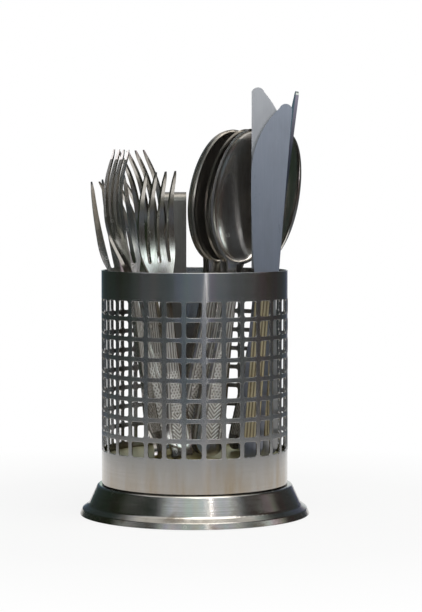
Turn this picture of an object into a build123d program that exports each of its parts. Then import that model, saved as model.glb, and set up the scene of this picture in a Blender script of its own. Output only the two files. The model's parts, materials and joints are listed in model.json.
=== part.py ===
from build123d import *
from math import cos, radians, sin
import os

# Cutlery holder: a perforated sheet sleeve on a pressed base, with the cutlery that stands in it.
# Millimetres, +Z up, origin at the centre of the face that it rests on, front towards -Y.

# Shared values
sheet = 0.8
fit_gap = 0.2
seat_gap = 0.3
overrun = 2.0

# Sleeve: a rolled sheet with a square grid of holes and a blank column at the lap seam
sleeve_diameter = 105.0
sleeve_height = 120.1
hole_width = 8.5
hole_height = 8.5
hole_corner = 1.3
column_pitches = 30
row_count = 8
row_pitch = 10.95
top_band = 15.8
rim_round = 0.3

# Base: one pressing with a raised floor, a shoulder for the sleeve, a steep side and a flared brim
floor_height = 33.0
floor_round = 3.0
floor_corner_round = 0.6
shoulder_height = 16.6
shoulder_diameter = 109.6
shoulder_round = 1.8
side_foot_diameter = 120.2
side_foot_height = 5.6
side_foot_round = 3.2
brim_diameter = 129.6
brim_drop = 2.4
lip_run = 1.3
lip_round = 1.2

# Handles of forks and spoons
handle_end_width = 16.0
handle_neck_width = 6.4
handle_steel = 2.6
handle_edge = 1.2
neck_steel = 3.4

# Forks
table_fork_length = 172.0
dessert_fork_length = 158.5
fork_head_length = 68.0
fork_head_width = 23.5
fork_tip_width = 21.0
fork_steel = 2.0
fork_bow = 5.0
tine_length = 48.0
tine_root_width = 4.2
tine_tip_width = 1.9
tine_point_width = 0.8
tine_point_length = 5.0
tine_side_ease = 0.5

# Spoons
spoon_length = 185.0
bowl_length = 76.5
bowl_width = 41.0
bowl_depth = 6.8
bowl_steel = 1.2
stack_gap = 1.3
bowl_root_width = 9.5

# Knives
table_knife_length = 206.0
dessert_knife_length = 197.0
blade_length = 101.0
blade_width = 20.0
heel_width = 12.6
blade_spine = 1.8
blade_edge = 0.5
spine_offset = 8.0
knife_handle_width = 13.5
knife_handle_steel = 6.6
bolster_width = 11.0
bolster_steel = 5.0
bolster_lap = 4.0

# Tongs: one strip bent over at the top
tongs_height = 148.0
tongs_width = 15.5
tongs_span = 10.0
tongs_steel = 1.2

# Handle outline from its end to its neck: shares of the length, of the widening from neck to end,
# of the thickening from end to neck, and of the bow
handle_shares = [
    (0.00, 0.94, 0.00, 0.55),
    (0.16, 1.00, 0.05, 0.64),
    (0.36, 0.72, 0.15, 0.66),
    (0.58, 0.34, 0.40, 0.56),
    (0.80, 0.06, 0.80, 0.44),
    (1.00, 0.00, 1.00, 0.40),
]
end_round_share = 0.42

# Fork head from the neck to the tips: shares of the head length, of the widening from neck to head,
# of the thinning from neck to head, and of the bow
head_shares = [
    (0.17, 0.42, 0.60, 0.72),
    (0.33, 0.88, 0.90, 1.00),
    (0.50, 1.00, 1.00, 0.98),
    (0.67, 1.00, 1.00, 0.62),
    (0.83, 1.00, 1.00, -0.12),
]
tip_bow_share = -1.25
tip_steel_share = 0.45
section_edge_share = 0.7

# Bowl of a spoon: share of its length between the neck and the widest place
bowl_neck_share = 0.473
handle_reach_share = 0.35

# Knife handle from its end to the bolster: shares of the length, and of the narrowing to the bolster
knife_handle_shares = [(0.00, 0.06), (0.20, 0.00), (0.50, 0.35), (0.80, 0.90), (1.00, 1.00)]
knife_section_edge_share = 0.45

# Blade outline: shares of its length and width, measured from the heel and the spine
belly_shares = (0.594, 0.98)
belly_arc_shares = (0.248, 0.813)
tip_start_shares = (0.972, 0.35)
tip_arc_shares = (0.806, 0.845)
tip_round_shares = (0.998, 0.16)
spine_end_share = 0.975

# Where the cutlery stands: shares of the sleeve's inner radius at the floor and at the rim, and its turn
spoon_stack_foot_shares = (0.17, -0.33)
spoon_stack_rim_shares = (0.45, -0.21)
spoon_stack_turn = 22
spoon_stack_shift_shares = [0.0, 0.0, -0.10, -0.05, 0.02]
stand_shares = {
    "table_spoon_6": ((0.39, 0.28), (0.75, 0.43), -54),
    "table_knife_1": ((0.77, -0.20), (0.77, -0.20), 0),
    "table_knife_2": ((0.595, 0.008), (0.854, 0.104), 97.6),
    "dessert_knife": ((0.594, -0.399), (0.754, -0.360), 179.7),
    "table_fork_1": ((-0.32, -0.55), (-0.67, -0.43), 68),
    "table_fork_2": ((-0.37, 0.12), (-0.51, 0.05), -43),
    "dessert_fork_1": ((-0.10, -0.81), (-0.31, -0.74), 35),
    "dessert_fork_2": ((-0.272, -0.209), (-0.743, -0.070), 13.9),
    "dessert_fork_3": ((-0.33, 0.34), (-0.68, 0.44), -44),
    "strip_tongs": ((-0.25, 0.70), (-0.25, 0.70), 0),
}

# Worked out from the values above
sleeve_radius = sleeve_diameter / 2
inner_radius = sleeve_radius - sheet
wall_radius = inner_radius - fit_gap
sleeve_foot = shoulder_height + floor_corner_round
sleeve_top = sleeve_foot + sleeve_height
column_angle = 360 / column_pitches
stack_pitch = bowl_depth + bowl_steel + stack_gap


def base_corners():
    return [
        Vector(0, floor_height),
        Vector(wall_radius, floor_height),
        Vector(wall_radius, shoulder_height),
        Vector(shoulder_diameter / 2, shoulder_height),
        Vector(side_foot_diameter / 2, side_foot_height),
        Vector(brim_diameter / 2 - lip_run, side_foot_height - brim_drop),
        Vector(brim_diameter / 2, 0),
    ]


def pressed_base():
    corners = base_corners()
    radii = [floor_round, floor_corner_round, shoulder_round, side_foot_round, lip_round]
    normals = []
    for start, end in zip(corners, corners[1:]):
        normals.append((end - start).normalized().rotate(Axis.Z, -90))
    inner = [corners[0] + normals[0] * sheet]
    inner_radii = []
    for corner, before, after, radius in zip(corners[1:], normals, normals[1:], radii):
        inner.append(corner + (before + after) * (sheet / (1 + before.dot(after))))
        bend = 1 if before.cross(after).Z > 0 else -1
        inner_radii.append(radius + bend * sheet)
    inner.append(corners[-1] - Vector(sheet / abs(normals[-1].X), 0))
    outer_line = FilletPolyline(*corners, radius=radii)
    inner_line = FilletPolyline(*inner, radius=inner_radii)
    ends = [Line(corners[0], inner[0]), Line(corners[-1], inner[-1])]
    section = make_face([*outer_line.edges(), *inner_line.edges(), *[line.edge() for line in ends]])
    return revolve(Plane.XZ * section, Axis.Z)


def hole_tools():
    face = Plane.YZ * RectangleRounded(hole_width, hole_height, hole_corner)
    bar = Pos(inner_radius - overrun, 0, 0) * extrude(face, amount=sheet + 2 * overrun, dir=(1, 0, 0))
    first_row = sleeve_top - top_band - hole_height / 2
    tools = []
    for column in range(1, column_pitches):
        for row in range(row_count):
            height = first_row - row * row_pitch
            tools.append(Rot(0, 0, 90 + column * column_angle) * Pos(0, 0, height) * bar)
    return tools


def perforated_sleeve():
    tube = Cylinder(sleeve_radius, sleeve_height, align=(Align.CENTER, Align.CENTER, Align.MIN))
    tube -= Cylinder(inner_radius, sleeve_height, align=(Align.CENTER, Align.CENTER, Align.MIN))
    tube = fillet(tube.edges().group_by(Axis.Z)[-1], rim_round)
    sleeve = Pos(0, 0, sleeve_foot) * tube
    return sleeve - hole_tools()


def lens_section(height, bow, width, steel, edge):
    half = width / 2
    front = ThreePointArc((-half, bow - edge / 2), (0, bow - steel / 2), (half, bow - edge / 2))
    right = Line((half, bow - edge / 2), (half, bow + edge / 2))
    back = ThreePointArc((half, bow + edge / 2), (0, bow + steel / 2), (-half, bow + edge / 2))
    left = Line((-half, bow + edge / 2), (-half, bow - edge / 2))
    return Pos(0, 0, height) * make_face([front, right, back, left])


def handle_sections(length, bow):
    sections = []
    for along, wide, thick, bowed in handle_shares:
        width = handle_neck_width + wide * (handle_end_width - handle_neck_width)
        steel = handle_steel + thick * (neck_steel - handle_steel)
        edge = handle_edge + thick * (section_edge_share * neck_steel - handle_edge)
        sections.append(lens_section(along * length, bowed * bow, width, steel, edge))
    return sections


def end_tool(width):
    half = width / 2
    drop = end_round_share * width
    arc = ThreePointArc((-half, drop), (0, 0), (half, drop))
    under = Polyline((half, drop), (half + overrun, drop), (half + overrun, -overrun),
                     (-half - overrun, -overrun), (-half - overrun, drop), (-half, drop))
    return extrude(Plane.XZ * make_face([*arc.edges(), *under.edges()]), amount=width, both=True)


def fork_slots(length):
    root_gap = (fork_head_width - 4 * tine_root_width) / 3
    tip_gap = (fork_tip_width - 4 * tine_tip_width) / 3
    top_gap = tip_gap + tine_tip_width - tine_point_width
    root = length - tine_length
    point = length - tine_point_length
    slots = []
    for side in (-1, 0, 1):
        low = side * (tine_root_width + root_gap)
        high = side * (tine_tip_width + tip_gap)
        start, end = low - root_gap / 2, low + root_gap / 2
        arc = ThreePointArc((end, root), (low, root - root_gap / 2), (start, root))
        sides = Polyline(
            (start, root), (high - tip_gap / 2, point), (high - top_gap / 2, length),
            (high - top_gap / 2, length + overrun), (high + top_gap / 2, length + overrun),
            (high + top_gap / 2, length), (high + tip_gap / 2, point), (end, root),
        )
        face = Plane.XZ * make_face([*arc.edges(), *sides.edges()])
        slots.append(extrude(face, amount=fork_head_width, both=True))
    return slots


def side_tools(length):
    root = length - tine_length
    start = fork_head_width / 2 + tine_side_ease
    clear = start + overrun
    inset = (fork_tip_width - tine_tip_width + tine_point_width) / 2
    tools = []
    for side in (-1, 1):
        outline = Polyline(
            (side * start, root), (side * fork_tip_width / 2, length - tine_point_length), (side * inset, length),
            (side * inset, length + overrun), (side * clear, length + overrun), (side * clear, root), close=True,
        )
        tools.append(extrude(Plane.XZ * make_face(outline), amount=fork_head_width, both=True))
    return tools


def fork(length):
    neck = length - fork_head_length
    sections = handle_sections(neck, fork_bow)
    for along, wide, thin, bowed in head_shares:
        width = handle_neck_width + wide * (fork_head_width - handle_neck_width)
        steel = neck_steel + thin * (fork_steel - neck_steel)
        height = neck + along * fork_head_length
        sections.append(lens_section(height, bowed * fork_bow, width, steel, section_edge_share * steel))
    tip_steel = tip_steel_share * fork_steel
    tip_edge = section_edge_share * tip_steel
    sections.append(lens_section(length, tip_bow_share * fork_bow, fork_head_width, tip_steel, tip_edge))
    return loft(sections) - [end_tool(handle_end_width), *fork_slots(length), *side_tools(length)]


def half_bowl(steel, reach, up):
    ball = scale(Sphere(1), by=(bowl_width / 2 - steel, bowl_depth + bowl_steel - steel, reach - steel))
    side = Align.MIN if up else Align.MAX
    return ball & Box(bowl_width, 4 * bowl_depth, bowl_length, align=(Align.CENTER, Align.CENTER, side))


def egg(steel):
    neck_reach = bowl_neck_share * bowl_length
    tip_reach = bowl_length - neck_reach
    return half_bowl(steel, neck_reach, False) + half_bowl(steel, tip_reach, True)


def spoon():
    widest = spoon_length - (1 - bowl_neck_share) * bowl_length
    neck = spoon_length - bowl_length
    reach = neck + handle_reach_share * bowl_neck_share * bowl_length
    sections = handle_sections(neck, bowl_depth)[:-1]
    bow = handle_shares[-1][-1] * bowl_depth
    edge = section_edge_share * neck_steel
    for height, width in ((neck, bowl_root_width), (reach, 2 * bowl_root_width)):
        sections.append(lens_section(height, bow, width, neck_steel, edge))
    handle = loft(sections)
    back = Box(bowl_width, 2 * bowl_depth, bowl_length, align=(Align.CENTER, Align.MIN, Align.MIN))
    shell = egg(0) & Pos(0, 0, -bowl_neck_share * bowl_length) * back
    solid = handle - end_tool(handle_end_width) + Pos(0, 0, widest) * shell
    return solid - Pos(0, 0, widest) * egg(bowl_steel)


def blade_outline():
    heel = (heel_width, 0)
    belly = (belly_shares[1] * blade_width, belly_shares[0] * blade_length)
    belly_arc = (belly_arc_shares[1] * blade_width, belly_arc_shares[0] * blade_length)
    tip_start = (tip_start_shares[1] * blade_width, tip_start_shares[0] * blade_length)
    tip_arc = (tip_arc_shares[1] * blade_width, tip_arc_shares[0] * blade_length)
    tip_round = (tip_round_shares[1] * blade_width, tip_round_shares[0] * blade_length)
    spine_end = (0, spine_end_share * blade_length)
    return [
        ThreePointArc(heel, belly_arc, belly),
        ThreePointArc(belly, tip_arc, tip_start),
        ThreePointArc(tip_start, tip_round, spine_end),
        Line(spine_end, (0, 0)),
        Line((0, 0), heel),
    ]


def knife(length):
    heel = length - blade_length
    flat = extrude(Plane.XZ * make_face(blade_outline()), amount=blade_spine, both=True)
    wedge = make_face(Polyline(
        (0, -blade_spine / 2),
        (blade_width, -blade_edge / 2),
        (blade_width, blade_edge / 2),
        (0, blade_spine / 2),
        close=True,
    ))
    blade = flat & extrude(wedge, amount=blade_length)
    sections = []
    for along, narrow in knife_handle_shares:
        width = knife_handle_width + narrow * (bolster_width - knife_handle_width)
        steel = knife_handle_steel + narrow * (bolster_steel - knife_handle_steel)
        height = along * (heel + bolster_lap)
        sections.append(lens_section(height, 0, width, steel, knife_section_edge_share * steel))
    return loft(sections) - end_tool(knife_handle_width) + Pos(-spine_offset, 0, heel) * blade


def strip_tongs():
    outer = tongs_span / 2
    inner = outer - tongs_steel
    crown = tongs_height - outer
    outside = Polyline((outer, crown), (outer, 0), (inner, 0), (inner, crown))
    inside = Polyline((-inner, crown), (-inner, 0), (-outer, 0), (-outer, crown))
    arches = [
        ThreePointArc((-outer, crown), (0, tongs_height), (outer, crown)),
        ThreePointArc((inner, crown), (0, tongs_height - tongs_steel), (-inner, crown)),
    ]
    section = make_face([*outside.edges(), *inside.edges(), *[arch.edge() for arch in arches]])
    strip = extrude(Plane.YZ * section, amount=tongs_width / 2, both=True)
    return strip - end_tool(tongs_width)


def stand_axis(foot, rim):
    across = (Vector(*rim) - Vector(*foot)) * inner_radius
    return Vector(across.X, across.Y, sleeve_top - floor_height).normalized()


def stand(piece, foot, rim, turn):
    axis = stand_axis(foot, rim)
    side = Vector(cos(radians(turn)), sin(radians(turn)), 0)
    place = Plane(origin=Vector(*foot) * inner_radius, x_dir=side - axis * side.dot(axis), z_dir=axis)
    leaning = place.location * piece
    return Pos(0, 0, floor_height + seat_gap - leaning.bounding_box().min.Z) * leaning


def spoon_stack():
    turn = radians(spoon_stack_turn)
    along = Vector(cos(turn), sin(turn))
    back = Vector(-sin(turn), cos(turn))
    places = {}
    for order, shift_share in enumerate(spoon_stack_shift_shares):
        step = (back * (order * stack_pitch) + along * (shift_share * bowl_width)) / inner_radius
        foot = Vector(*spoon_stack_foot_shares) + step
        rim = Vector(*spoon_stack_rim_shares) + step
        places[f"table_spoon_{order + 1}"] = ((foot.X, foot.Y), (rim.X, rim.Y), spoon_stack_turn)
    return places


def cutlery_places():
    return {**spoon_stack(), **stand_shares}


def cutlery():
    kinds = {
        "table_spoon": spoon(),
        "table_knife": knife(table_knife_length),
        "dessert_knife": knife(dessert_knife_length),
        "table_fork": fork(table_fork_length),
        "dessert_fork": fork(dessert_fork_length),
        "strip_tongs": strip_tongs(),
    }
    pieces = {}
    for name, (foot, rim, turn) in cutlery_places().items():
        kind = next(kind for kind in kinds if name.startswith(kind))
        pieces[name] = stand(kinds[kind], foot, rim, turn)
    return pieces


def main():
    os.makedirs("parts", exist_ok=True)
    pieces = {"pressed_base": pressed_base(), "perforated_sleeve": perforated_sleeve(), **cutlery()}
    for name, piece in pieces.items():
        export_step(piece, f"parts/{name}.step")


if __name__ == "__main__":
    main()
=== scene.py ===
import json
import math

import bpy
from mathutils import Matrix, Vector


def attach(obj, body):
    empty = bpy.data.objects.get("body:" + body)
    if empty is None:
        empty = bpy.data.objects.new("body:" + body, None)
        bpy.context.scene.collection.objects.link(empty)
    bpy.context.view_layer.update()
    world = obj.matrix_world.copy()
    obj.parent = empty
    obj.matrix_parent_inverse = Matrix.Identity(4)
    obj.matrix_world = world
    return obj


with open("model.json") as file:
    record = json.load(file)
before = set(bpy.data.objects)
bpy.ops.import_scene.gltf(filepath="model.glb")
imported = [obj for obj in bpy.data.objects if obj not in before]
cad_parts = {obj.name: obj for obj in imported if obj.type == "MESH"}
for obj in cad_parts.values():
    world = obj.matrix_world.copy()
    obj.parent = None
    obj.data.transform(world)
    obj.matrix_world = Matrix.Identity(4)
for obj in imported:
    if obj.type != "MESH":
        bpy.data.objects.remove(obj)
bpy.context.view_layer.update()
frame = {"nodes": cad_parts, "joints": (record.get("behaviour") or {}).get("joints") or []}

nodes = frame["nodes"]
mm = 0.001
bpy.ops.object.select_all(action="DESELECT")
print("stage: frame loaded with", len(nodes), "nodes")

colourA, colourB, mixed = 6, 7, 2    # sockets of a Mix node that mixes colours


def hexToLinear(colour):
    parts = [int(colour[k:k + 2], 16) / 255 for k in (1, 3, 5)]
    return tuple(p / 12.92 if p <= 0.04045 else ((p + 0.055) / 1.055) ** 2.4 for p in parts) + (1.0,)


def addNode(tree, kind, inputs=None, **settings):
    node = tree.nodes.new(kind)
    for name, value in settings.items():
        setattr(node, name, value)
    for name, value in (inputs or {}).items():
        if isinstance(value, bpy.types.NodeSocket):
            tree.links.new(value, node.inputs[name])
        else:
            node.inputs[name].default_value = value
    return node


def emptyTree(owner):
    owner.use_nodes = True
    owner.node_tree.nodes.clear()
    return owner.node_tree


def setStops(ramp, stops):
    (first, firstColour), *middle, (last, lastColour) = stops
    ramp.elements[0].position, ramp.elements[0].color = first, firstColour
    ramp.elements[-1].position, ramp.elements[-1].color = last, lastColour
    for at, colour in middle:
        ramp.elements.new(at).color = colour


def perMetre(sizes):
    return [1 / (size * mm) for size in sizes]


# What a finish is where it says nothing else: not brushed, no wet line, sharp edges, some dried drops and
# smears, all metal
plainSteel = {"aniso": 0.0, "wetLine": None, "edgeMm": 0, "drops": 0.12, "smears": 0.6, "metal": 1.0}
# Stainless sheet, ground with a belt around the tube: long fine lines that stretch every highlight upright,
# with faint smears and a brown stain low down, where the holder stands in water
sleeveLook = {
    **plainSteel, "name": "brushedStainlessSleeve", "base": "#acaaa7", "dull": "#a4a29f", "stain": "#a18f74",
    "grainMm": (60, 60, 0.35),     # real grit lines are about 0.05 mm apart, drawn coarser to show
    "smearMm": (9, 9, 70), "spotMm": 7, "rough": (0.15, 0.21), "bumpMm": 0.003, "aniso": 0.7,
    "wetLine": (0.036, 0.020), "edgeMm": 0.35, "drops": 0.0, "smears": 0.25,
}
# Stainless sheet, pressed and polished on a wheel: mirror-like, with turning marks round the axis and
# water spots; the raised floor is left as pressed, dull and yellowed by old tea
baseLook = {
    **plainSteel, "name": "polishedStainlessBase", "base": "#b9b6af", "dull": "#918c83", "stain": "#7d7263",
    "grainMm": (70, 70, 0.7), "smearMm": (14, 14, 8), "spotMm": 5, "rough": (0.12, 0.26), "bumpMm": 0.01,
    "aniso": 0.35, "wetLine": (0.012, 0.0), "drops": 0.06, "floorAt": (0.027, 0.029),
    "floorTint": "#a39a6c", "floorRough": 0.42,
}
# Stainless 18/8, stamped and drum polished: smooth bright bowls with hairline scratches and finger marks
spoonLook = {
    **plainSteel, "name": "polishedStainlessSpoon", "base": "#cac6bf", "dull": "#a8a198", "stain": "#86776a",
    "grainMm": (0.8, 0.8, 24), "smearMm": (11, 11, 16), "spotMm": 6, "rough": (0.09, 0.2), "bumpMm": 0.002,
    "metal": 0.96,
}
# Stainless 18/0, stamped and tumbled: a shade darker, with dull streaks along the tines
forkLook = {
    **plainSteel, "name": "tumbledStainlessFork", "base": "#c6c2bb", "dull": "#9d968c", "stain": "#7c6e5f",
    "grainMm": (0.9, 0.9, 30), "smearMm": (8, 8, 20), "spotMm": 5, "rough": (0.12, 0.25), "bumpMm": 0.004,
}
# Hardened knife steel, ground along the blade: an even grey satin with fine lines lengthwise
knifeLook = {
    **plainSteel, "name": "satinKnifeSteel", "base": "#adaaa7", "dull": "#a3a19f", "stain": "#959391",
    "grainMm": (0.7, 0.7, 60), "smearMm": (12, 12, 40), "spotMm": 6, "rough": (0.27, 0.34), "bumpMm": 0.008,
}
# The small knife is the same steel with painted shade: its colour is made darker and cooler
paintedShadeKnifeLook = {
    **knifeLook, "name": "satinKnifeSteelPaintedShade", "base": "#8a8b91", "dull": "#808289", "stain": "#7a7b7f",
}
# Spring steel strip, bent and left as rolled: a soft even sheen
stripLook = {
    **plainSteel, "name": "rolledStripSteel", "base": "#7d7972", "dull": "#716d66", "stain": "#625c53",
    "grainMm": (0.8, 0.8, 60), "smearMm": (10, 10, 30), "spotMm": 6, "rough": (0.3, 0.38), "bumpMm": 0.003,
    "drops": 0.05,
}
# One knife is buffed all over, a mirror that takes the colour of what stands beside it; its colour is
# darkened with painted shade
buffedPaintedShadeLook = {
    **plainSteel, "name": "buffedKnifeSteelPaintedShade", "base": "#787c78", "dull": "#6a6e6a", "stain": "#5f5d57",
    "grainMm": (0.7, 0.7, 60), "smearMm": (12, 12, 40), "spotMm": 6, "rough": (0.05, 0.09), "bumpMm": 0.002,
    "drops": 0.1,
}
# Stamped steel where the die left its pattern: worn bright on the ridges, brown-black tarnish in the hollows
handleLook = {
    **plainSteel, "name": "tarnishedPatternSteel", "base": "#f0ece4", "dull": "#dcd6cc", "stain": "#b5ab9b",
    "grainMm": (0.9, 0.9, 20), "smearMm": (8, 8, 14), "spotMm": 5, "rough": (0.18, 0.3), "bumpMm": 0.006,
    "drops": 0.1, "hollow": "#5d5244", "metal": 0.5,
}
# Hollow knife handles, pressed and left unwashed longest: the same wear with a straw-gold tea stain over it
fluteLook = {
    **handleLook, "name": "teaStainedFluteSteel", "base": "#e2d3ae", "dull": "#c4b083", "stain": "#96815a",
    "hollow": "#4f4026",
}
# How the marks on every steel are picked out of their noise, and how much each one changes
steelMarks = {
    "grainFrom": (0.35, 0.7), "grainShare": 0.55, "smearFrom": (0.52, 0.74), "wetShare": 0.6,
    "unevenFrom": (0.38, 0.64), "unevenLeast": 0.35, "hollowFrom": (0.5, 0.05), "hollowShare": 0.7,
    "dropRing": [(0.10, 0.25), (0.19, 1.0), (0.25, 0.0)], "dropRough": 0.12, "roughFrom": (0.75, 1.3),
    "bumpStrength": 0.6, "edgeSamples": 6, "anisoTurn": 0.25,
}


def steelMaterial(look, marks):
    material = bpy.data.materials.new(look["name"])
    tree = emptyTree(material)
    place = addNode(tree, "ShaderNodeTexCoord").outputs["Object"]
    # brushing or polishing lines
    grainAt = addNode(tree, "ShaderNodeMapping", {"Vector": place, "Scale": perMetre(look["grainMm"])})
    grain = addNode(tree, "ShaderNodeTexNoise",
                    {"Vector": grainAt.outputs[0], "Scale": 1.0, "Detail": 4.0, "Roughness": 0.65})
    # drips, smears and finger marks
    smearAt = addNode(tree, "ShaderNodeMapping", {"Vector": place, "Scale": perMetre(look["smearMm"])})
    smear = addNode(tree, "ShaderNodeTexNoise",
                    {"Vector": smearAt.outputs[0], "Scale": 1.0, "Detail": 5.0, "Roughness": 0.6})
    # dried drops: a ring in some of the cells
    spotAt = addNode(tree, "ShaderNodeMapping", {"Vector": place, "Scale": perMetre([look["spotMm"]] * 3)})
    spot = addNode(tree, "ShaderNodeTexVoronoi", {"Vector": spotAt.outputs[0], "Scale": 1.0})
    ring = addNode(tree, "ShaderNodeValToRGB", {"Fac": spot.outputs["Distance"]})
    setStops(ring.color_ramp, [(at, (level, level, level, 1)) for at, level in marks["dropRing"]])
    chosen = addNode(tree, "ShaderNodeSeparateColor", {"Color": spot.outputs["Color"]})
    few = addNode(tree, "ShaderNodeMath", {0: chosen.outputs[0], 1: look["drops"]}, operation="LESS_THAN")
    drop = addNode(tree, "ShaderNodeMath", {0: ring.outputs["Color"], 1: few.outputs[0]},
                   operation="MULTIPLY")

    grainMix = addNode(tree, "ShaderNodeMapRange", {
        "Value": grain.outputs["Fac"], "From Min": marks["grainFrom"][0], "From Max": marks["grainFrom"][1],
        "To Max": marks["grainShare"]})
    colour = addNode(tree, "ShaderNodeMix", {
        "Factor": grainMix.outputs[0], colourA: hexToLinear(look["base"]),
        colourB: hexToLinear(look["dull"])}, data_type="RGBA").outputs[mixed]
    dirt = addNode(tree, "ShaderNodeMapRange", {
        "Value": smear.outputs["Fac"], "From Min": marks["smearFrom"][0], "From Max": marks["smearFrom"][1],
        "To Max": look["smears"]}).outputs[0]
    if look["wetLine"]:
        height = addNode(tree, "ShaderNodeSeparateXYZ", {"Vector": place}).outputs["Z"]
        low = addNode(tree, "ShaderNodeMapRange", {
            "Value": height, "From Min": look["wetLine"][0], "From Max": look["wetLine"][1],
            "To Max": marks["wetShare"]})
        uneven = addNode(tree, "ShaderNodeMapRange", {
            "Value": smear.outputs["Fac"], "From Min": marks["unevenFrom"][0],
            "From Max": marks["unevenFrom"][1], "To Min": marks["unevenLeast"]})
        streak = addNode(tree, "ShaderNodeMath", {0: low.outputs[0], 1: uneven.outputs[0]},
                         operation="MULTIPLY")
        dirt = addNode(tree, "ShaderNodeMath", {0: dirt, 1: streak.outputs[0]}, operation="ADD",
                       use_clamp=True).outputs[0]
    colour = addNode(tree, "ShaderNodeMix", {
        "Factor": dirt, colourA: colour, colourB: hexToLinear(look["stain"])},
        data_type="RGBA").outputs[mixed]
    if "hollow" in look:
        worn = addNode(tree, "ShaderNodeAttribute", attribute_name="reliefHeight")
        deep = addNode(tree, "ShaderNodeMapRange", {
            "Value": worn.outputs["Fac"], "From Min": marks["hollowFrom"][0],
            "From Max": marks["hollowFrom"][1], "To Max": marks["hollowShare"]})
        colour = addNode(tree, "ShaderNodeMix", {
            "Factor": deep.outputs[0], colourA: colour, colourB: hexToLinear(look["hollow"])},
            data_type="RGBA").outputs[mixed]
    roughAt = addNode(tree, "ShaderNodeMath", {0: grain.outputs["Fac"], 1: smear.outputs["Fac"]},
                      operation="ADD")
    rough = addNode(tree, "ShaderNodeMapRange", {
        "Value": roughAt.outputs[0], "From Min": marks["roughFrom"][0], "From Max": marks["roughFrom"][1],
        "To Min": look["rough"][0], "To Max": look["rough"][1]})
    dulled = addNode(tree, "ShaderNodeMath", {0: drop.outputs[0], 1: marks["dropRough"], 2: rough.outputs[0]},
                     operation="MULTIPLY_ADD").outputs[0]
    if "floorAt" in look:
        height = addNode(tree, "ShaderNodeSeparateXYZ", {"Vector": place}).outputs["Z"]
        inside = addNode(tree, "ShaderNodeMapRange", {
            "Value": height, "From Min": look["floorAt"][0], "From Max": look["floorAt"][1]})
        colour = addNode(tree, "ShaderNodeMix", {
            "Factor": inside.outputs[0], colourA: colour, colourB: hexToLinear(look["floorTint"])},
            data_type="RGBA").outputs[mixed]
        dulled = addNode(tree, "ShaderNodeMix", {
            "Factor": inside.outputs[0], "A": dulled, "B": look["floorRough"]}).outputs[0]
    bump = addNode(tree, "ShaderNodeBump", {
        "Height": grain.outputs["Fac"], "Strength": marks["bumpStrength"], "Distance": look["bumpMm"] * mm})
    if look["edgeMm"]:    # punched edges are burnished round and catch the light
        burnished = addNode(tree, "ShaderNodeBevel", {"Radius": look["edgeMm"] * mm},
                            samples=marks["edgeSamples"])
        tree.links.new(burnished.outputs[0], bump.inputs["Normal"])
    inputs = {"Base Color": colour, "Metallic": look["metal"], "Roughness": dulled, "Normal": bump.outputs[0],
              "Anisotropic": look["aniso"], "Anisotropic Rotation": marks["anisoTurn"]}
    if look["aniso"]:
        inputs["Tangent"] = addNode(tree, "ShaderNodeTangent", direction_type="RADIAL", axis="Z").outputs[0]
    shader = addNode(tree, "ShaderNodeBsdfPrincipled", inputs)
    addNode(tree, "ShaderNodeOutputMaterial", {"Surface": shader.outputs[0]})
    return material


sleeveSteel = steelMaterial(sleeveLook, steelMarks)
baseSteel = steelMaterial(baseLook, steelMarks)
spoonSteel = steelMaterial(spoonLook, steelMarks)
forkSteel = steelMaterial(forkLook, steelMarks)
knifeSteel = steelMaterial(knifeLook, steelMarks)
paintedShadeKnifeSteel = steelMaterial(paintedShadeKnifeLook, steelMarks)
stripSteel = steelMaterial(stripLook, steelMarks)
buffedPaintedShadeSteel = steelMaterial(buffedPaintedShadeLook, steelMarks)
patternSteel = steelMaterial(handleLook, steelMarks)
fluteSteel = steelMaterial(fluteLook, steelMarks)
# The dessert knife and the second table knife have their colours darkened with painted shade
ownFinish = {"perforated_sleeve": sleeveSteel, "pressed_base": baseSteel, "strip_tongs": stripSteel,
             "dessert_knife": paintedShadeKnifeSteel, "table_knife_2": buffedPaintedShadeSteel}
for name, node in nodes.items():
    kindFinish = spoonSteel if "spoon" in name else knifeSteel if "knife" in name else forkSteel
    node.data.materials.clear()
    node.data.materials.append(ownFinish.get(name, kindFinish))
print("stage: steel finishes on", len(nodes), "nodes")

# Which way each piece of cutlery is turned about its own length, in degrees, as the solids stand
handleTurns = {
    "table_spoon_1": 22, "table_spoon_2": 22, "table_spoon_3": 22, "table_spoon_4": 22, "table_spoon_5": 22,
    "table_spoon_6": -54, "table_knife_1": 0, "table_knife_2": 97.6, "dessert_knife": 179.7,
    "table_fork_1": 68, "table_fork_2": -43, "dessert_fork_1": 35, "dessert_fork_2": 13.9,
    "dessert_fork_3": -44,
}
# How every pattern lies on its handle: a grid of small cells that is pushed on from a distance, stands a hair
# proud, and has its border sunk out of sight
pressedRelief = {
    "cellMm": 0.42, "ridgeMm": 0.3, "clearMm": 0.02, "sunkMm": 0.15, "pushFromMm": 14, "endMm": 30,
    "widestShare": 0.16, "borderAcross": 0.985, "borderAlong": 0.004, "roundness": 0.7,
}
# Stamped pattern of a spoon's or fork's handle: a leaf at the end, then cross-hatch, then lines along it,
# with a ridge down each side, on a handle whose widths are given along its length
stampedHandle = {
    **pressedRelief, "steel": patternSteel,
    "lengthMm": {"table_spoon": 108.5, "table_fork": 104, "dessert_fork": 90.5},
    "widthsMm": [(0.0, 15.4), (0.16, 16.0), (0.36, 13.3), (0.58, 9.7), (0.80, 7.0), (1.0, 6.4)],
    "fromMm": {"table_spoon": 8, "table_fork": 15, "dessert_fork": 12},
    "toShare": {"table_spoon": 0.95, "table_fork": 0.86, "dessert_fork": 0.86}, "insideShare": 0.86,
    "leafMm": 2.3, "leafShare": 0.3, "leafSlope": 1.1, "hatchMm": 1.9, "hatchSlope": 0.6, "lineMm": 1.7,
    "plainShare": 0.55, "fieldShare": 0.62, "sideRidgeAt": 0.80, "sideRidgeWide": 0.24,
}
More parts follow.
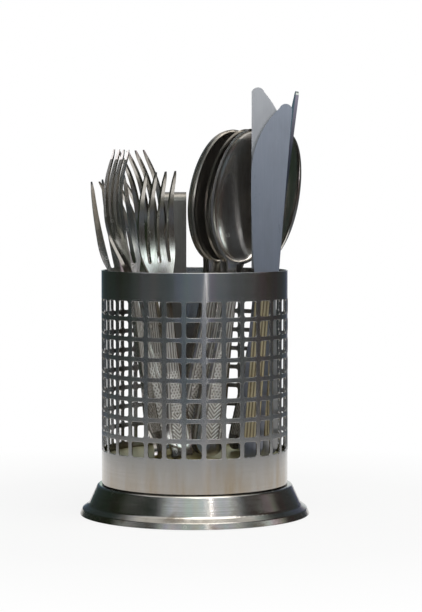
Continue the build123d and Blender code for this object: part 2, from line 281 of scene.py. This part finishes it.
# Flutes pressed along a knife's hollow handle
flutedHandle = {
    **pressedRelief, "steel": fluteSteel, "lengthMm": {"table_knife": 109, "dessert_knife": 100},
    "widthsMm": [(0.0, 12.2), (1.0, 12.2)], "fromMm": {"table_knife": 9, "dessert_knife": 9},
    "toShare": {"table_knife": 0.95, "dessert_knife": 0.95}, "insideShare": 0.74, "flutes": 5,
}


def cutleryFrame(name):
    axis = next(Vector(joint["axis"]) for joint in frame["joints"] if joint["child"] == name).normalized()
    turn = math.radians(handleTurns[name])
    side = Vector((math.cos(turn), math.sin(turn), 0))
    across = (side - axis * side.dot(axis)).normalized()
    toLocal = Matrix((across, axis.cross(across), axis))
    points = [toLocal @ v.co for v in nodes[name].data.vertices]
    low = min(p.z for p in points)
    end = [p for p in points if p.z < low + pressedRelief["endMm"] * mm]
    middle = Vector([(min(p[k] for p in end) + max(p[k] for p in end)) / 2 for k in (0, 1)] + [low])
    toWorld = toLocal.transposed()
    return Matrix.Translation(toWorld @ middle) @ toWorld.to_4x4()


def halfWidth(share, look):
    table = look["widthsMm"]
    for (a, low), (b, high) in zip(table, table[1:]):
        if share <= b:
            return (low + (high - low) * (share - a) / (b - a)) / 2 * look["insideShare"]
    return table[-1][1] / 2 * look["insideShare"]


def ridgeWave(distance, pitch):
    return max(0.0, math.cos(2 * math.pi * distance / pitch)) ** pressedRelief["roundness"]


def stampedHeight(u, across, along, share, look):
    if abs(u) > look["fieldShare"]:
        return ridgeWave(abs(u) - look["sideRidgeAt"], look["sideRidgeWide"])
    if share < look["leafShare"]:
        return ridgeWave(along - look["leafSlope"] * abs(across), look["leafMm"])
    if share > look["plainShare"]:
        return ridgeWave(across, look["lineMm"])
    slant = look["hatchSlope"] * along
    return max(ridgeWave(across + slant, look["hatchMm"]), ridgeWave(across - slant, look["hatchMm"]))


def flutedHeight(u, across, along, share, look):
    return ridgeWave(u * look["flutes"] / 2, 1.0)


def reliefSheet(name, side, look, heightAt):
    kind = name.rstrip("_0123456789")
    length = look["lengthMm"][kind]
    start, stop = look["fromMm"][kind], look["toShare"][kind] * length
    rows = int((stop - start) / look["cellMm"])
    columns = int(2 * halfWidth(look["widestShare"], look) / look["cellMm"])
    bpy.ops.object.select_all(action="DESELECT")
    bpy.ops.mesh.primitive_grid_add(x_subdivisions=columns, y_subdivisions=rows, size=1, location=(0, 0, 0))
    sheet = bpy.context.object
    sheet.name = f"{name}_{'frontPattern' if side < 0 else 'backPattern'}"
    sheet.data.name = sheet.name
    places = []
    for v in sheet.data.vertices:
        u, rowShare = 2 * v.co.x, v.co.y + 0.5
        along = start + rowShare * (stop - start)
        across = u * halfWidth(along / length, look)
        border = abs(u) > look["borderAcross"] or min(rowShare, 1 - rowShare) < look["borderAlong"]
        places.append((border, 0.0 if border else heightAt(u, across, along, along / length, look)))
        v.co = Vector((across, look["pushFromMm"] * side, along)) * mm
    sheet.matrix_world = cutleryFrame(name)
    wrap = sheet.modifiers.new("lieOnHandle", "SHRINKWRAP")
    wrap.wrap_method, wrap.target = "PROJECT", nodes[name]
    wrap.use_project_y, wrap.use_project_x, wrap.use_project_z = True, False, False
    wrap.use_positive_direction, wrap.use_negative_direction = side < 0, side > 0
    bpy.ops.object.modifier_apply(modifier=wrap.name)
    heights = sheet.data.attributes.new("reliefHeight", "FLOAT", "POINT")
    for v, (border, height), mark in zip(sheet.data.vertices, places, heights.data):
        proud = -look["sunkMm"] if border else look["ridgeMm"] * height + look["clearMm"]
        v.co.y += side * proud * mm
        mark.value = height
    bpy.ops.object.transform_apply(location=True, rotation=True, scale=True)
    if side > 0:
        bpy.ops.object.mode_set(mode="EDIT")
        bpy.ops.mesh.select_all(action="SELECT")
        bpy.ops.mesh.flip_normals()
        bpy.ops.object.mode_set(mode="OBJECT")
    bpy.ops.object.shade_smooth()
    sheet.data.materials.append(look["steel"])
    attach(sheet, name)
    return sheet


sheets = []
for name in handleTurns:
    look, heightAt = (flutedHandle, flutedHeight) if "knife" in name else (stampedHandle, stampedHeight)
    for side in (-1, 1):
        sheets.append(reliefSheet(name, side, look, heightAt))
print("stage: stamped patterns on", len(sheets), "handle faces")


# 1 for what the camera, mirrors and glass see, 0 for the light that falls on the object
def seenShare(tree):
    rays = addNode(tree, "ShaderNodeLightPath").outputs
    seen = rays["Is Camera Ray"]
    for kind in ("Is Glossy Ray", "Is Transmission Ray"):
        seen = addNode(tree, "ShaderNodeMath", {0: seen, 1: rays[kind]}, operation="MAXIMUM").outputs[0]
    return seen


# Pale floor under the object, a dark surround that only reflections see, and a white world
floorLook = {
    "radius": 0.34, "sides": 96, "below": 0.0003, "colour": "#f4f2ee", "fade": (0.16, 0.32), "lift": 0.78,
}
bpy.ops.object.select_all(action="DESELECT")
bpy.ops.mesh.primitive_circle_add(vertices=floorLook["sides"], radius=floorLook["radius"], fill_type="NGON",
                                  location=(0, 0, -floorLook["below"]))
floor = bpy.context.object
floor.name = "paleFloor"
floorPaint = bpy.data.materials.new("whitePaperFloor")
tree = emptyTree(floorPaint)
seen = seenShare(tree)
spread = addNode(tree, "ShaderNodeVectorMath", {0: addNode(tree, "ShaderNodeTexCoord").outputs["Object"]},
                 operation="LENGTH")
fade = addNode(tree, "ShaderNodeMapRange", {
    "Value": spread.outputs["Value"], "From Min": floorLook["fade"][0], "From Max": floorLook["fade"][1],
    "To Min": floorLook["lift"]})
share = addNode(tree, "ShaderNodeMath", {0: seen, 1: fade.outputs[0]}, operation="MULTIPLY")
paper = addNode(tree, "ShaderNodeBsdfDiffuse", {"Color": hexToLinear(floorLook["colour"])})
glow = addNode(tree, "ShaderNodeEmission", {"Color": (1, 1, 1, 1), "Strength": 1.0})
both = addNode(tree, "ShaderNodeMixShader", {0: share.outputs[0], 1: paper.outputs[0], 2: glow.outputs[0]})
addNode(tree, "ShaderNodeOutputMaterial", {"Surface": both.outputs[0]})
floor.data.materials.append(floorPaint)

surroundLook = {
    "radius": 1.7, "height": 2.6, "sides": 64, "bottom": -0.05, "groundReach": 0.2,
    "ground": "#626d78", "earth": "#5c5650", "sky": "#e6edf4", "groundFade": (-0.045, 0.0),
    "stripeMm": (150, 150, 3000), "stripeFrom": (0.3, 0.7), "stripeTo": (0.82, 1.18),
    "patchMm": 420, "patchFrom": (0.45, 0.62),
    "walls": [(0.0, "#2a3024"), (0.26, "#3c4a49"), (0.44, "#66788a"), (0.6, "#667686"), (0.8, "#474d56"),
              (1.0, "#463c36")],
    "window": (0.14, -0.99, 0.0), "opens": (0.55, 0.82), "frontRise": (0.3, 1.0), "sideRise": (1.7, 2.6),
    "behind": ((0.1, 0.995, 0.0), 0.965, 0.99), "paleRise": (0.34, 0.46), "paleFall": (0.9, 0.6),
    "near": ((0.14, -0.99, 0.0), -0.2, 0.25), "paleGain": 2.0,
}
bpy.ops.mesh.primitive_cylinder_add(
    vertices=surroundLook["sides"], radius=surroundLook["radius"], depth=surroundLook["height"],
    end_fill_type="NOTHING", location=(0, 0, surroundLook["height"] / 2 + surroundLook["bottom"]))
surround = bpy.context.object
surround.name = "darkSurround"
bpy.ops.object.mode_set(mode="EDIT")
bpy.ops.mesh.select_all(action="DESELECT")
bpy.ops.object.mode_set(mode="OBJECT")
for edge in surround.data.edges:
    edge.select = all(surround.data.vertices[k].co.z < 0 for k in edge.vertices)
bpy.ops.object.mode_set(mode="EDIT")
bpy.ops.mesh.select_mode(type="EDGE")
bpy.ops.mesh.extrude_region_move()
bpy.ops.transform.resize(value=(surroundLook["groundReach"], surroundLook["groundReach"], 1),
                         center_override=(0, 0, surroundLook["bottom"]))
bpy.ops.object.mode_set(mode="OBJECT")
bpy.ops.object.transform_apply(location=True, rotation=True, scale=True)
card = bpy.data.materials.new("darkFeltSurround")
tree = emptyTree(card)
place = addNode(tree, "ShaderNodeTexCoord").outputs["Object"]
placeParts = addNode(tree, "ShaderNodeSeparateXYZ", {"Vector": place}).outputs
height = placeParts["Z"]
turn = addNode(tree, "ShaderNodeMapRange", {
    "Value": placeParts["X"], "From Min": -surroundLook["radius"], "From Max": surroundLook["radius"]})
walls = addNode(tree, "ShaderNodeValToRGB", {"Fac": turn.outputs[0]})
setStops(walls.color_ramp, [(at, hexToLinear(colour)) for at, colour in surroundLook["walls"]])
stripeAt = addNode(tree, "ShaderNodeMapping", {"Vector": place, "Scale": perMetre(surroundLook["stripeMm"])})
stripe = addNode(tree, "ShaderNodeTexNoise", {"Vector": stripeAt.outputs[0], "Scale": 1.0, "Detail": 3.0})
stripeEnds = [(value,) * 3 for value in surroundLook["stripeFrom"] + surroundLook["stripeTo"]]
level = addNode(tree, "ShaderNodeMapRange", {    # sockets 7 to 10 are a vector's From and To
    "Vector": stripe.outputs["Color"], 7: stripeEnds[0], 8: stripeEnds[1], 9: stripeEnds[2],
    10: stripeEnds[3]}, data_type="FLOAT_VECTOR")
low = addNode(tree, "ShaderNodeMapRange", {
    "Value": height, "From Min": surroundLook["groundFade"][0], "From Max": surroundLook["groundFade"][1]})
toFront = addNode(tree, "ShaderNodeVectorMath", {0: place, 1: surroundLook["window"]},
                  operation="DOT_PRODUCT")
opens = [value * surroundLook["radius"] for value in surroundLook["opens"]]
front = addNode(tree, "ShaderNodeMapRange", {
    "Value": toFront.outputs["Value"], "From Min": opens[0], "From Max": opens[1]},
    interpolation_type="SMOOTHSTEP")
slopes = {}
for key in ("sideRise", "frontRise", "paleRise", "paleFall"):
    slopes[key] = addNode(tree, "ShaderNodeMapRange", {
        "Value": height, "From Min": surroundLook[key][0], "From Max": surroundLook[key][1]}).outputs[0]
upper = addNode(tree, "ShaderNodeMix", {
    "Factor": front.outputs[0], "A": slopes["sideRise"], "B": slopes["frontRise"]})
sectors = {}
for key in ("behind", "near"):
    facing, shut, wide = surroundLook[key]
    reach = addNode(tree, "ShaderNodeVectorMath", {0: place, 1: facing}, operation="DOT_PRODUCT")
    sectors[key] = addNode(tree, "ShaderNodeMapRange", {
        "Value": reach.outputs["Value"], "From Min": shut * surroundLook["radius"],
        "From Max": wide * surroundLook["radius"]}).outputs[0]
# a pale band above the horizon, for bowls, roots of tines and handles to mirror
pale = sectors["near"]
for key in ("paleRise", "paleFall"):
    pale = addNode(tree, "ShaderNodeMath", {0: pale, 1: slopes[key]}, operation="MULTIPLY").outputs[0]
bright = addNode(tree, "ShaderNodeMath", {0: pale, 1: sectors["behind"]}, operation="MAXIMUM")
upper = addNode(tree, "ShaderNodeMath", {0: upper.outputs[0], 1: bright.outputs[0]}, operation="MAXIMUM")
patchAt = addNode(tree, "ShaderNodeMapping", {
    "Vector": place, "Scale": perMetre([surroundLook["patchMm"]] * 3)})
patch = addNode(tree, "ShaderNodeTexNoise", {"Vector": patchAt.outputs[0], "Scale": 1.0, "Detail": 2.0})
earthy = addNode(tree, "ShaderNodeMapRange", {
    "Value": patch.outputs["Fac"], "From Min": surroundLook["patchFrom"][0],
    "From Max": surroundLook["patchFrom"][1]})
ground = addNode(tree, "ShaderNodeMix", {
    "Factor": earthy.outputs[0], colourA: hexToLinear(surroundLook["ground"]),
    colourB: hexToLinear(surroundLook["earth"])}, data_type="RGBA").outputs[mixed]
colour = addNode(tree, "ShaderNodeMix", {
    "Factor": low.outputs[0], colourA: ground, colourB: walls.outputs["Color"]},
    data_type="RGBA").outputs[mixed]
colour = addNode(tree, "ShaderNodeMix", {
    "Factor": upper.outputs[0], colourA: colour, colourB: hexToLinear(surroundLook["sky"])},
    data_type="RGBA").outputs[mixed]
lift = addNode(tree, "ShaderNodeMath", {0: pale, 1: surroundLook["paleGain"], 2: 1.0},
               operation="MULTIPLY_ADD")
striped = addNode(tree, "ShaderNodeVectorMath", {0: colour, 1: level.outputs["Vector"]}, operation="MULTIPLY")
felt = addNode(tree, "ShaderNodeEmission", {"Color": striped.outputs[0], "Strength": lift.outputs[0]})
addNode(tree, "ShaderNodeOutputMaterial", {"Surface": felt.outputs[0]})
surround.data.materials.append(card)
surround.visible_camera = surround.visible_diffuse = surround.visible_shadow = False
surround.visible_transmission = surround.visible_volume_scatter = False

worldLook = {"tint": "#e4e8ec", "dim": 0.7}
world = bpy.data.worlds.new("whiteStudio")
bpy.context.scene.world = world
tree = emptyTree(world)
seen = seenShare(tree)
white = addNode(tree, "ShaderNodeBackground", {"Color": (1, 1, 1, 1), "Strength": 1.0})
dim = addNode(tree, "ShaderNodeBackground", {
    "Color": hexToLinear(worldLook["tint"]), "Strength": worldLook["dim"]})
both = addNode(tree, "ShaderNodeMixShader", {0: seen, 1: dim.outputs[0], 2: white.outputs[0]})
addNode(tree, "ShaderNodeOutputWorld", {"Surface": both.outputs[0]})

# A tall strip to the right of the camera draws the upright highlight, a key lamp above it sparkles on the
# stamped handles, and a broad lamp hangs overhead
lamps = {
    "stripLamp": {"size": (0.035, 0.95), "place": (0.32, -1.26, 0.5), "aim": (0, 0, 0.08), "watts": 0.5},
    "keyLamp": {"size": (0.06, 0.3), "place": (0.5, -1.25, 1.35), "aim": (0, 0, 0.1), "watts": 0.5},
    "overheadLamp": {"size": (1.1, 1.1), "place": (0.25, -0.45, 1.55), "aim": (0, 0, 0.08), "watts": 10},
}
for name, lamp in lamps.items():
    bpy.ops.object.light_add(type="AREA", location=lamp["place"])
    light = bpy.context.object
    light.name = name
    light.data.shape, light.data.energy = "RECTANGLE", lamp["watts"]
    light.data.size, light.data.size_y = lamp["size"]
    away = Vector(lamp["place"]) - Vector(lamp["aim"])
    light.rotation_euler = away.to_track_quat("Z", "Y").to_euler()

view = {"place": (0.0092, -1.155, 0.175), "tiltDown": 2.88, "lens": 120.6, "film": 36}
bpy.ops.object.camera_add(location=view["place"], rotation=(math.radians(90 - view["tiltDown"]), 0, 0))
camera = bpy.context.object
camera.name = "photoCamera"
camera.data.lens, camera.data.sensor_width, camera.data.sensor_fit = view["lens"], view["film"], "AUTO"
bpy.context.scene.camera = camera
bpy.context.scene.view_settings.view_transform = "Standard"
print("stage: floor, surround, lamps and camera")
